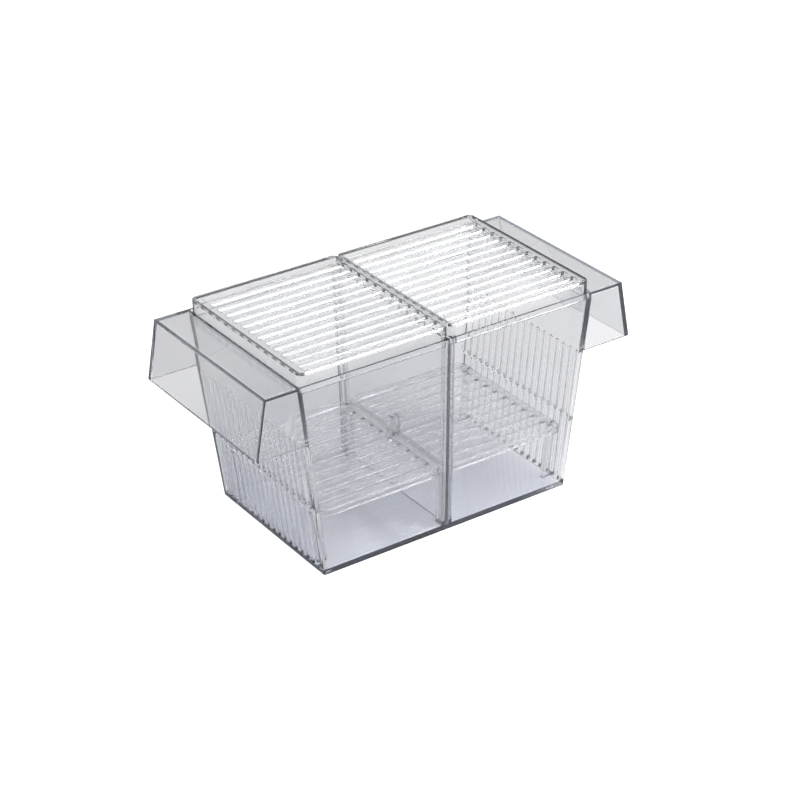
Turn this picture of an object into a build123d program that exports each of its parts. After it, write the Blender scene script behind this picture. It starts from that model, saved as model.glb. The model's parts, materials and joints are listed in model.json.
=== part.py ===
"""Twin floating fish breeding box, moulded in clear polystyrene.

Six loose mouldings: a tapered tank with a hollow float at each end, a divider that
drops into guides in the middle of the long walls, two slatted floor grids that rest
part of the way up the tank, and two slatted lids that plug into the rim.

Millimetres, +Z up. X runs along the length, -Y is the front. The origin is the middle
of the flat underside of the tank.
"""
from build123d import *
import os

# ---------------------------------------------------------------- tank shell
tank_height = 100.0
rim_length = 159.5
rim_depth = 94.5
base_length = 136.0
base_depth = 88.0
tank_wall = 2.2
base_thickness = 2.2
tank_corner_radius = 1.2

# Seat for the lids: the wall is thinner at the rim and leaves a ledge below it
rim_wall = 1.0
seat_depth = 3.5

# Hollow floats, closed on top, open below, level with the rim
float_reach_top = 17.0
float_reach_bottom = 22.2
float_height = 29.0
float_wall = 1.8

# Water slots in the two end walls: one row above the floor grids, one below
end_slot_count = 18
end_slot_width = 2.2
end_slot_corner_gap = 0.1
upper_slot_bottom = 35.5
upper_slot_top = 69.5
lower_slot_sill = 0.2
slot_row_bridge = 1.3

# ------------------------------------------------------------------- divider
divider_thickness = 1.8
divider_top_drop = 1.3
divider_edge_clearance = 0.3

# Guides for the divider: a pair of ribs on each long wall
guide_clearance = 0.2
guide_rib_width = 1.6
guide_rib_reach = 2.5
guide_top_drop = 0.8

# --------------------------------------------------------------- floor grids
grid_level = 31.6
grid_plate = 1.2
grid_height = 3.0
grid_skirt = 2.0
grid_divider_gap = 0.4
grid_end_gap = 1.5
grid_side_gap = 1.5
grid_corner_radius = 5.0
grid_top_fillet = 0.5
grid_slot_count = 10
grid_slot_pitch = 7.5
grid_slot_width = 3.0
grid_joint_border = 2.2
grid_end_border = 4.4
grid_slot_corner = 0.5

# Upright tab on the middle of each grid's inner edge, one each side of the divider
tab_height = 10.0
tab_width = 5.0
tab_thickness = 1.6
tab_top_radius = 1.5

# Rests for the grids: ribs up from the floor on the end walls, steps on the guides
rest_rib_width = 2.0
rest_rib_reach = 4.8
rest_rib_land = 7
guide_step_reach = 5.5

# ---------------------------------------------------------------------- lids
lid_rise = 6.0
lid_plate = 2.0
lid_skirt = 1.8
lid_clearance = 0.2
lid_joint_gap = 0.3
lid_corner_radius = 3.0
lid_top_fillet = 0.3
lid_relief_clearance = 0.5
lid_slot_count = 13
lid_slot_pitch = 6.75
lid_slot_width = 3.6
lid_joint_border = 1.9
lid_end_border = 4.2
lid_slot_corner = 0.5

# ------------------------------------------------------------ shared levels
seat_level = tank_height - seat_depth
lid_top = tank_height + lid_rise
divider_top = tank_height - divider_top_drop
lower_slot_bottom = base_thickness + lower_slot_sill
lower_slot_top = upper_slot_bottom - slot_row_bridge
grid_rest_level = grid_level - grid_height
float_bottom = tank_height - float_height
groove_width = divider_thickness + 2 * guide_clearance
guide_outer_face = groove_width / 2 + guide_rib_width

# Tools that cut right through run this far past the face they leave
cut_past = 1.0


def half_length(z):
    """Half the tank's outer length at height z: the end walls lean outwards."""
    return (base_length + (rim_length - base_length) * z / tank_height) / 2


def half_depth(z):
    """Half the tank's outer depth at height z: the long walls lean outwards."""
    return (base_depth + (rim_depth - base_depth) * z / tank_height) / 2


def float_outer(z):
    """X of a float's outer face at height z: it leans outwards going down."""
    share = (tank_height - z) / float_height
    reach = float_reach_top + (float_reach_bottom - float_reach_top) * share
    return rim_length / 2 + reach


def tapered_block(z_low, z_high, inset, radius):
    """A block that follows the tank's taper, its sides a set distance inside it."""
    sections = []
    for z in (z_low, z_high):
        length = 2 * (half_length(z) - inset)
        depth = 2 * (half_depth(z) - inset)
        sections.append(Pos(0, 0, z) * RectangleRounded(length, depth, radius))
    return loft(sections, ruled=True)


def slab_xz(points, y_low, y_high):
    """A flat-sided solid from an outline in X and Z, from y_low to y_high."""
    outline = make_face(Polyline([(x, y_low, z) for x, z in points], close=True))
    return extrude(outline, y_high - y_low, dir=(0, 1, 0))


def slab_yz(points, x_low, x_high):
    """A flat-sided solid from an outline in Y and Z, from x_low to x_high."""
    outline = make_face(Polyline([(x_low, y, z) for y, z in points], close=True))
    return extrude(outline, x_high - x_low, dir=(1, 0, 0))


def slot_rows(count, pitch):
    """Y of each of a number of evenly spaced slots, centred on the middle."""
    return [pitch * (i - (count - 1) / 2) for i in range(count)]


def end_slot_pitch(z_low):
    """Spacing of the row of end slots that starts at z_low: it spans the end wall there."""
    outermost = half_depth(z_low) - tank_wall - end_slot_corner_gap - end_slot_width / 2
    return 2 * outermost / (end_slot_count - 1)


def float_body():
    """Outside of the right float, sunk half way into the end wall."""
    in_wall = tank_wall / 2
    outline = [
        (half_length(float_bottom) - in_wall, float_bottom),
        (float_outer(float_bottom), float_bottom),
        (float_outer(tank_height), tank_height),
        (half_length(tank_height) - rim_wall / 2, tank_height),
        (half_length(seat_level) - rim_wall / 2, seat_level),
    ]
    return slab_xz(outline, -rim_depth / 2, rim_depth / 2)


def float_hollow():
    """Air space of the right float, from under its top plate to its open bottom."""
    z_low = float_bottom - cut_past
    z_high = tank_height - float_wall
    outline = [
        (half_length(z_low), z_low),
        (float_outer(z_low) - float_wall, z_low),
        (float_outer(z_high) - float_wall, z_high),
        (half_length(z_high), z_high),
    ]
    inner_half = rim_depth / 2 - float_wall
    return slab_xz(outline, -inner_half, inner_half)


def guide_rib(x_low):
    """One rib of the back guide, with a step low down that a floor grid rests on."""
    z_low = base_thickness / 2
    z_high = tank_height - guide_top_drop

    def tip(z, reach):
        return half_depth(z) - tank_wall - reach

    outline = [
        (half_depth(z_low) - rim_wall / 2, z_low),
        (half_depth(z_high) - rim_wall / 2, z_high),
        (tip(z_high, guide_rib_reach), z_high),
        (tip(grid_rest_level, guide_rib_reach), grid_rest_level),
        (tip(grid_rest_level, guide_step_reach), grid_rest_level),
        (tip(z_low, guide_step_reach), z_low),
    ]
    return slab_yz(outline, x_low, x_low + guide_rib_width)


def rest_rib(y_middle):
    """A rib on the right end wall, up from the floor, that a floor grid rests on."""
    z_low = base_thickness / 2
    z_high = grid_rest_level
    outline = [
        (half_length(z_low) - tank_wall / 2, z_low),
        (half_length(z_high) - tank_wall / 2, z_high),
        (half_length(z_high) - tank_wall - rest_rib_reach, z_high),
        (half_length(z_low) - tank_wall - rest_rib_reach, z_low),
    ]
    half = rest_rib_width / 2
    return slab_xz(outline, y_middle - half, y_middle + half)


def end_slots():
    """Round-ended cutters along X, which open both end walls at once."""
    reach = rim_length / 2 + cut_past
    cutters = []
    for z_low, z_high in ((lower_slot_bottom, lower_slot_top),
                          (upper_slot_bottom, upper_slot_top)):
        for y in slot_rows(end_slot_count, end_slot_pitch(z_low)):
            middle = (z_low + z_high) / 2
            plane = Plane(origin=(-reach, y, middle), x_dir=(0, 0, 1), z_dir=(1, 0, 0))
            slot = plane * SlotOverall(z_high - z_low, end_slot_width)
            cutters.append(extrude(slot, 2 * reach))
    return cutters


def make_tank():
    """The tank: tapered shell, floats, guides, rests and water slots in one piece."""
    right_float = float_body()
    right_hollow = float_hollow()
    tank = tapered_block(0, tank_height, 0, tank_corner_radius)
    tank = tank + right_float + mirror(right_float, about=Plane.YZ)
    tank = tank - right_hollow - mirror(right_hollow, about=Plane.YZ)
    inner_radius = tank_corner_radius / 2
    tank = tank - tapered_block(base_thickness, tank_height, tank_wall, inner_radius)
    seat_length = rim_length - 2 * rim_wall
    seat_width = rim_depth - 2 * rim_wall
    seat = RectangleRounded(seat_length, seat_width, tank_corner_radius)
    tank = tank - extrude(Pos(0, 0, seat_level) * seat, seat_depth + cut_past)
    tank = tank - end_slots()
    ribs = []
    for x_low in (groove_width / 2, -guide_outer_face):
        back = guide_rib(x_low)
        ribs += [back, mirror(back, about=Plane.XZ)]
    land_y = rest_rib_land * end_slot_pitch(lower_slot_bottom)
    for y in (-land_y, land_y):
        right = rest_rib(y)
        ribs += [right, mirror(right, about=Plane.YZ)]
    return tank + ribs


def make_divider():
    """The divider: a plate with leaning edges, standing on the tank's floor."""
    def edge(z):
        return half_depth(z) - tank_wall - divider_edge_clearance

    z_low = base_thickness
    outline = [
        (-edge(z_low), z_low),
        (edge(z_low), z_low),
        (edge(divider_top), divider_top),
        (-edge(divider_top), divider_top),
    ]
    return slab_yz(outline, -divider_thickness / 2, divider_thickness / 2)


def slatted_tray(x_low, x_high, half_y, z_low, z_high, form):
    """An upside-down tray with a slotted top: the form of both lids and grids."""
    middle = (x_low + x_high) / 2
    length = x_high - x_low
    outside = Pos(middle, 0, z_low) * RectangleRounded(length, 2 * half_y, form["radius"])
    tray = extrude(outside, z_high - z_low)
    top_edges = tray.faces().sort_by(Axis.Z)[-1].edges()
    tray = fillet(top_edges, form["fillet"])
    skirt = form["skirt"]
    inner = RectangleRounded(length - 2 * skirt, 2 * (half_y - skirt),
                             form["radius"] - skirt / 2)
    under = Pos(middle, 0, z_low - cut_past) * inner
    tray = tray - extrude(under, z_high - form["plate"] - z_low + cut_past)
    slot_low = x_low + form["joint_border"]
    slot_high = x_high - form["end_border"]
    slots = []
    for y in slot_rows(form["count"], form["pitch"]):
        place = Pos((slot_low + slot_high) / 2, y, z_high - form["plate"] - cut_past)
        slot = place * RectangleRounded(slot_high - slot_low, form["width"],
                                        form["slot_corner"])
        slots.append(extrude(slot, form["plate"] + 2 * cut_past))
    return tray - slots


def make_lid():
    """The right lid: its skirt plugs into the rim, short along the middle joint."""
    x_low = lid_joint_gap / 2
    x_high = rim_length / 2 - rim_wall - lid_clearance
    half_y = rim_depth / 2 - rim_wall - lid_clearance
    form = {
        "radius": lid_corner_radius, "fillet": lid_top_fillet, "skirt": lid_skirt,
        "plate": lid_plate, "count": lid_slot_count, "pitch": lid_slot_pitch,
        "width": lid_slot_width, "joint_border": lid_joint_border,
        "end_border": lid_end_border, "slot_corner": lid_slot_corner,
    }
    lid = slatted_tray(x_low, x_high, half_y, seat_level, lid_top, form)
    relief_x = guide_outer_face + lid_relief_clearance
    relief_bottom = seat_level - cut_past
    relief = Box(relief_x, rim_depth, tank_height - relief_bottom,
                 align=(Align.MIN, Align.CENTER, Align.MIN))
    return lid - Pos(0, 0, relief_bottom) * relief


def make_floor_grid():
    """The right floor grid, with its upright tab beside the divider."""
    x_low = divider_thickness / 2 + grid_divider_gap
    x_high = half_length(grid_rest_level) - tank_wall - grid_end_gap
    half_y = half_depth(grid_rest_level) - tank_wall - grid_side_gap
    form = {
        "radius": grid_corner_radius, "fillet": grid_top_fillet, "skirt": grid_skirt,
        "plate": grid_plate, "count": grid_slot_count, "pitch": grid_slot_pitch,
        "width": grid_slot_width, "joint_border": grid_joint_border,
        "end_border": grid_end_border, "slot_corner": grid_slot_corner,
    }
    grid = slatted_tray(x_low, x_high, half_y, grid_rest_level, grid_level, form)
    tab = Box(tab_thickness, tab_width, grid_plate + tab_height,
              align=(Align.MIN, Align.CENTER, Align.MIN))
    tab_corners = tab.faces().sort_by(Axis.Z)[-1].edges().filter_by(Axis.X)
    tab = fillet(tab_corners, tab_top_radius)
    return grid + Pos(x_low, 0, grid_level - grid_plate) * tab


os.makedirs("parts", exist_ok=True)
lid_right = make_lid()
floor_grid_right = make_floor_grid()
parts = {
    "tank": make_tank(),
    "divider": make_divider(),
    "floor_grid_left": mirror(floor_grid_right, about=Plane.YZ),
    "floor_grid_right": floor_grid_right,
    "lid_left": mirror(lid_right, about=Plane.YZ),
    "lid_right": lid_right,
}
for name, part in parts.items():
    export_step(part, os.path.join("parts", name + ".step"))
    print(name, "volume", round(part.volume, 1), "mm3")
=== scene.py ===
# %% [markdown]
# # A twin fish breeding box in clear polystyrene
#
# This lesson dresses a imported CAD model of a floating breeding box: a tapered tank with
# a hollow float at each end, a divider, two slatted floor grids and two slatted lids.
# All six mouldings are clear. A clear thing has no colour of its own to paint, so its
# picture is made by three other things: its edges, the little light that is lost at each
# wall, and what stands behind what. The lesson takes them one at a time.

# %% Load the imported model
import json
import math

import bmesh
import bpy
import numpy as np
from mathutils import Matrix, Vector
from mathutils.bvhtree import BVHTree


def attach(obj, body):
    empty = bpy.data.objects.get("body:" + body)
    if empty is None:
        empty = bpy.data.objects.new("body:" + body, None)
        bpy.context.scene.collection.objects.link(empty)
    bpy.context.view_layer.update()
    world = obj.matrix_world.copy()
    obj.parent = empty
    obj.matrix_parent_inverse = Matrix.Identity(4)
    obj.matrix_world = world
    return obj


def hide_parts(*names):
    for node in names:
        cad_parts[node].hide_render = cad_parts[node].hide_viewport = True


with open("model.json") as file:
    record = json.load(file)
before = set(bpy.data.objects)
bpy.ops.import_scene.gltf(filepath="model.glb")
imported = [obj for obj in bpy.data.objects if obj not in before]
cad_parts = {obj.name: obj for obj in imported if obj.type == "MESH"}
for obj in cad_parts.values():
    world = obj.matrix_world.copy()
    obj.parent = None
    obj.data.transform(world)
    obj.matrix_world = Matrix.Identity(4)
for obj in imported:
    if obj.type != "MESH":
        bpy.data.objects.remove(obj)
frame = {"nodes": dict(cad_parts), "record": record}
scene = bpy.context.scene
MM = 0.001


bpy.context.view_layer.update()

# %% [markdown]
# ## The camera
#
# The photograph was taken from the left and a little above, with a long lens: upright
# lines stay nearly parallel. The camera could be placed by eye, but a clear object shows
# its back through its front, and the two only line up from the right place. So the
# camera comes from a fit to points of the box, most of them corners, and render and
# photograph share one view. A shift of under one percent of the frame places the box as
# in the photograph.

# %% Camera
turn, climb, roll = math.radians(-33.89), math.radians(28.49), math.radians(-1.04)
aim = Vector((0.0, 0.0, 0.05))
distance = 1.06218
towards = Vector((math.sin(turn) * math.cos(climb), -math.cos(turn) * math.cos(climb),
                  math.sin(climb)))
level = (-towards).cross(Vector((0, 0, 1))).normalized()
upright = level.cross(-towards)
right = math.cos(roll) * level + math.sin(roll) * upright
up = math.cos(roll) * upright - math.sin(roll) * level

camera_data = bpy.data.cameras.new("Photo camera")
camera_data.sensor_width = 36.0
camera_data.lens = 102.68
camera_data.shift_x, camera_data.shift_y = 0.0093, -0.0038
camera_data.clip_start = 0.01
camera = bpy.data.objects.new("Photo camera", camera_data)
scene.collection.objects.link(camera)
camera_axes = Matrix((right, up, towards)).transposed()
camera.matrix_world = Matrix.Translation(aim + towards * distance) @ camera_axes.to_4x4()
scene.camera = camera
print("camera stands at", [round(v, 3) for v in aim + towards * distance])

# %% [markdown]
# ## Colours and nodes
#
# Colours are written as the hex values that a paint program shows, and one function
# turns them to the linear numbers that shaders use. A second function adds a node with
# its settings and its links in one line, which keeps each material readable.


# %% Two helpers for materials
def linear(code):
    """A colour written #RRGGBB as linear red, green, blue and an alpha of 1."""
    srgb = np.array([int(code[i:i + 2], 16) for i in (1, 3, 5)]) / 255
    rgb = np.where(srgb <= 0.04045, srgb / 12.92, ((srgb + 0.055) / 1.055) ** 2.4)
    return (*[float(v) for v in rgb], 1.0)


def add(tree, kind, settings=(), links=()):
    """Adds a node. Settings are attributes or input values, links are inputs by name
    or number, each with the output socket that feeds it."""
    node = tree.nodes.new(kind)
    for name, value in dict(settings).items():
        if hasattr(node, str(name)):
            setattr(node, name, value)
        else:
            node.inputs[name].default_value = value
    for name, socket in dict(links).items():
        tree.links.new(socket, node.inputs[name])
    return node


# %% [markdown]
# ## Clear moulded polystyrene
#
# Boxes like this one are injection moulded in general-purpose polystyrene, the glassy
# kind that also makes jewel cases and clear cups. Its refractive index is 1.59, higher
# than glass, so its edges pipe light sideways and look grey-blue, and a wall seen at a
# slant mirrors its surroundings. Three things keep it from looking like perfect glass:
#
# - each wall loses some light, at its two surfaces and on the way through;
# - the plastic sets while it flows, so a polished wall is never quite flat. Its waves
#   are a centimetre or so long and a few thousandths of a millimetre deep;
# - where it rubs, it is faintly hazed, in patches.
#
# A plain transparent shader would show none of the bending, and the slats of the lids
# live by it: their white lines are the backdrop, mirrored inside each slat. So the
# material refracts. For lamps it lets light straight through with a tint, because
# bending a lamp's light through a dozen walls would take far longer to render.


# %% The material
REFRACTIVE_INDEX = 1.59
HAZE_SCALE = 34.0  # patches of handling haze about three centimetres wide


def clear_polystyrene(name, wall_tint, loss, wave_length, wave_depth, haze):
    """Moulded polystyrene. wall_tint is what each surface lets through, and loss sets
    how much light goes per metre of plastic. The surface waves are a noise of
    wave_length metres, pushed up by wave_depth metres. Roughness runs between haze[0]
    and haze[1] in patches."""
    material = bpy.data.materials.new(name)
    material.use_nodes = True
    tree = material.node_tree
    tree.nodes.clear()
    place = add(tree, "ShaderNodeTexCoord")
    # Long, soft flow waves: low detail, so they bend what is seen and don't sparkle.
    waves = add(tree, "ShaderNodeTexNoise",
                {"Scale": 1.0 / wave_length, "Detail": 1.0, "Roughness": 0.4},
                {"Vector": place.outputs["Object"]})
    bent = add(tree, "ShaderNodeBump", {"Strength": 1.0, "Distance": wave_depth},
               {"Height": waves.outputs["Fac"]})
    rubbed = add(tree, "ShaderNodeTexNoise", {"Scale": HAZE_SCALE, "Detail": 3.0},
                 {"Vector": place.outputs["Object"]})
    rough = add(tree, "ShaderNodeMapRange", {"From Min": 0.35, "From Max": 0.7,
                                             "To Min": haze[0], "To Max": haze[1]},
                {"Value": rubbed.outputs["Fac"]})
    plastic = add(tree, "ShaderNodeBsdfPrincipled",
                  {"Base Color": linear(wall_tint), "IOR": REFRACTIVE_INDEX,
                   "Transmission Weight": 1.0},
                  {"Roughness": rough.outputs["Result"], "Normal": bent.outputs["Normal"]})
    lamp_light = add(tree, "ShaderNodeBsdfTransparent", {"Color": linear("#E2E3E7")})
    ray = add(tree, "ShaderNodeLightPath")
    surface = add(tree, "ShaderNodeMixShader", {}, {0: ray.outputs["Is Shadow Ray"],
                                                    1: plastic.outputs["BSDF"],
                                                    2: lamp_light.outputs["BSDF"]})
    # Some light is absorbed on the way, red a little more than blue. A wall only turns
    # slightly grey by it, but an edge, where light has come through centimetres of
    # plastic, turns dark. What goes per metre is loss, times one less the colour.
    body = add(tree, "ShaderNodeVolumeAbsorption",
               {"Color": linear("#DEE0E4"), "Density": loss})
    add(tree, "ShaderNodeOutputMaterial", {}, {"Surface": surface.outputs["Shader"],
                                               "Volume": body.outputs["Volume"]})
    return material


finishes = {
    "tank_plastic": clear_polystyrene(
        "Clear polystyrene, tank moulding", wall_tint="#F5F5F6", loss=105.0,
        wave_length=12 * MM, wave_depth=0.006 * MM, haze=(0.0, 0.03)),
    "divider_plastic": clear_polystyrene(
        "Clear polystyrene, flat divider", wall_tint="#F8F8F8", loss=120.0,
        wave_length=16 * MM, wave_depth=0.006 * MM, haze=(0.0, 0.03)),
    "grid_plastic": clear_polystyrene(
        "Clear polystyrene, floor grids", wall_tint="#FBFBFB", loss=80.0,
        wave_length=9 * MM, wave_depth=0.004 * MM, haze=(0.01, 0.05)),
    "lid_plastic": clear_polystyrene(
        "Clear polystyrene, lids", wall_tint="#FDFDFD", loss=60.0,
        wave_length=9 * MM, wave_depth=0.003 * MM, haze=(0.0, 0.03)),
}
print("finishes", sorted(finishes))

# %% [markdown]
# ## Edges with a radius
#
# The CAD solids have each moulding's true shape, but their edges are perfectly sharp,
# and a sharp edge is the one thing that gives a clear model away. A steel mould can't
# have one: its edges come out with a radius of a quarter of a millimetre or so, and in
# clear plastic that radius is a tiny lens, which draws each edge as a soft line of light
# and dark. The radius could be faked in the shader, but then the mesh itself would stay
# sharp. So each solid's mesh is copied, its loose triangles are joined at their corners,
# and a Bevel modifier rounds every edge that turns by more than 30 degrees. The faceted
# ends of the slots turn by less, so they stay as they are. Shading stays flat: smoothed
# normals would bend the light at every flat wall as if it were a lens.
#
# The modifier's own clamp is off: it would shrink every radius to suit the thinnest
# triangle of the mesh. Its price is a few spikes, where a rounded corner slides along two
# edges that hardly cross. So the rounded mesh is measured against the sharp one, and each
# point more than half a radius from the solid's surface goes back to the nearest place on
# it. The finished piece then keeps to its solid within an eighth of a millimetre.

# %% Rounded copies of the solids
MOULD_RADIUS = 0.25 * MM
SAME_POINT = 0.001 * MM
SHARPEST_LEFT = math.radians(30)


def rounded_copy(node, name, radius):
    """The solid's surface with its edges rounded to a radius in metres."""
    shell = bmesh.new()
    shell.from_mesh(node.data)
    bmesh.ops.remove_doubles(shell, verts=shell.verts, dist=SAME_POINT)
    skin = BVHTree.FromBMesh(shell)
    sharp = bpy.data.meshes.new(name + "_sharp")
    shell.to_mesh(sharp)
    shell.free()
    piece = bpy.data.objects.new(name, sharp)
    scene.collection.objects.link(piece)
    edge = piece.modifiers.new("Mould radius", "BEVEL")
    edge.width, edge.segments = radius, 2
    edge.limit_method, edge.angle_limit = "ANGLE", SHARPEST_LEFT
    edge.use_clamp_overlap = edge.loop_slide = False

    # A rounding never gets deeper under a face than half its radius; a spike does.
    graph = bpy.context.evaluated_depsgraph_get()
    rounded = bpy.data.meshes.new_from_object(piece.evaluated_get(graph))
    rounded.name = name
    place = np.empty(3 * len(rounded.vertices), dtype=np.float32)
    rounded.vertices.foreach_get("co", place)
    place = place.reshape(-1, 3)
    nearest = [skin.find_nearest(Vector(point)) for point in place]
    spikes = np.array([hit[3] for hit in nearest]) > radius / 2
    place[spikes] = np.array([hit[0] for hit in nearest])[spikes]
    rounded.vertices.foreach_set("co", place.ravel())
    rounded.update()
    piece.modifiers.remove(edge)
    piece.data = rounded
    bpy.data.meshes.remove(sharp)
    print(name, len(place), "points,", int(spikes.sum()), "spikes drawn back")
    return piece


slot_of = {entry["node"]: entry["material_slot"] for entry in frame["record"]["subparts"]}
for body, names in frame["record"]["behaviour"]["bodies"].items():
    for name in names:
        piece = rounded_copy(frame["nodes"][name], "clear_" + name, MOULD_RADIUS)
        piece.data.materials.append(finishes[slot_of[name]])
        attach(piece, body)
        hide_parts(name)
        print(piece.name, len(piece.data.polygons), "faces after rounding")

# %% [markdown]
# ## Floor and backdrop
#
# The photograph has a pure white ground that runs into a white backdrop. A white floor
# alone renders grey where the box shades it, and more lamp light would burn out the
# box. So the floor is matt white and also glows a little, for rays that come from the
# camera or through the plastic, and it gives no light to anything. Seen directly it
# comes out white with a faint shadow. Seen through the plastic, where the photograph
# keeps its greys, it glows less and its shadow stays.

# %% Floor
GLOW_SEEN, GLOW_BENT = 0.7, 0.15

floor_material = bpy.data.materials.new("White sweep")
floor_material.use_nodes = True
tree = floor_material.node_tree
tree.nodes.clear()
matt = add(tree, "ShaderNodeBsdfDiffuse", {"Color": linear("#F2F2F2")})
ray = add(tree, "ShaderNodeLightPath")
bent_rays = add(tree, "ShaderNodeMath", {"operation": "MAXIMUM"},
                {0: ray.outputs["Is Glossy Ray"], 1: ray.outputs["Is Transmission Ray"]})
glow_level = add(tree, "ShaderNodeMath", {"operation": "MULTIPLY", 1: GLOW_BENT},
                 {0: bent_rays.outputs["Value"]})
glow_seen = add(tree, "ShaderNodeMath", {"operation": "MULTIPLY_ADD", 1: GLOW_SEEN},
                {0: ray.outputs["Is Camera Ray"], 2: glow_level.outputs["Value"]})
glow = add(tree, "ShaderNodeEmission", {"Color": (1, 1, 1, 1)},
           {"Strength": glow_seen.outputs["Value"]})
sweep = add(tree, "ShaderNodeAddShader", {}, {0: matt.outputs["BSDF"],
                                              1: glow.outputs["Emission"]})
add(tree, "ShaderNodeOutputMaterial", {}, {"Surface": sweep.outputs["Shader"]})

reach, drop = 4.0, -0.2 * MM
floor_mesh = bpy.data.meshes.new("Floor")
floor_mesh.from_pydata([(-reach, -reach, drop), (reach, -reach, drop), (reach, reach, drop),
                        (-reach, reach, drop)], [], [(0, 1, 2, 3)])
floor = bpy.data.objects.new("Floor", floor_mesh)
floor.data.materials.append(floor_material)
scene.collection.objects.link(floor)
print("floor lies", -drop / MM, "mm under the box")

# %% [markdown]
# ## The room's light
#
# The world is a white backdrop, at 1, for a ray that comes straight from the camera.
# Everything else in the room is dimmer, as in any studio: it lights the floor softly,
# and the dimmer surroundings are what draw the dark lines along the plastic's edges. By
# way of the plastic the world is seen at about four fifths, or at two thirds where the
# plastic mirrors it, so the backdrop still looks pale through it from every side.

# %% World
ROOM_LEVEL, BACKDROP_LEVEL = 0.37, 1.0
MIRRORED_SHARE, BENT_SHARE = 0.5, 0.7

world = bpy.data.worlds.new("White studio")
scene.world = world
world.use_nodes = True
tree = world.node_tree
tree.nodes.clear()
ray = add(tree, "ShaderNodeLightPath")
ambient = add(tree, "ShaderNodeBackground", {"Color": (1, 1, 1, 1), "Strength": ROOM_LEVEL})
backdrop = add(tree, "ShaderNodeBackground",
               {"Color": (1, 1, 1, 1), "Strength": BACKDROP_LEVEL})
mirrored = add(tree, "ShaderNodeMath", {"operation": "MULTIPLY", 1: MIRRORED_SHARE},
               {0: ray.outputs["Is Glossy Ray"]})
bent = add(tree, "ShaderNodeMath", {"operation": "MULTIPLY", 1: BENT_SHARE},
           {0: ray.outputs["Is Transmission Ray"]})
through = add(tree, "ShaderNodeMath", {"operation": "MAXIMUM"},
              {0: mirrored.outputs["Value"], 1: bent.outputs["Value"]})
seen = add(tree, "ShaderNodeMath", {"operation": "MAXIMUM"},
           {0: ray.outputs["Is Camera Ray"], 1: through.outputs["Value"]})
room = add(tree, "ShaderNodeMixShader", {}, {0: seen.outputs["Value"],
                                             1: ambient.outputs["Background"],
                                             2: backdrop.outputs["Background"]})
add(tree, "ShaderNodeOutputWorld", {}, {"Surface": room.outputs["Shader"]})

# %% [markdown]
# ## Lamps
#
# The photograph's box is darker on its left, its slats show white lines, and a white
# line runs along its front rim. Only one place for the lamp gives all three: high up at
# the front right. From there it throws the box's shade back to the left, and its light
# is mirrored once inside each slat, out of the slat's near edge and into the camera. A
# lamp behind the box would be mirrored by the flat tops instead, as one broad glare.


# %% Lamps
def softbox(name, place, size, watts):
    """A square lamp that looks at the middle of the box."""
    data = bpy.data.lights.new(name, "AREA")
    data.size, data.energy = size, watts
    lamp = bpy.data.objects.new(name, data)
    lamp.location = place
    lamp.rotation_euler = (aim - Vector(place)).to_track_quat("-Z", "Y").to_euler()
    scene.collection.objects.link(lamp)
    print(name, "at", place, "gives", watts, "W")


softbox("Key softbox", place=(0.52, -0.45, 0.78), size=0.4, watts=7.7)

# %% [markdown]
# ## Render settings
#
# Light bounces many times inside clear plastic. Too few bounces end in black edges,
# so the limits are raised well above the renderer's own.

# %% Settings
scene.view_settings.view_transform = "Standard"
scene.cycles.max_bounces = scene.cycles.transmission_bounces = 48
scene.cycles.glossy_bounces = 48
scene.cycles.transparent_max_bounces = 32
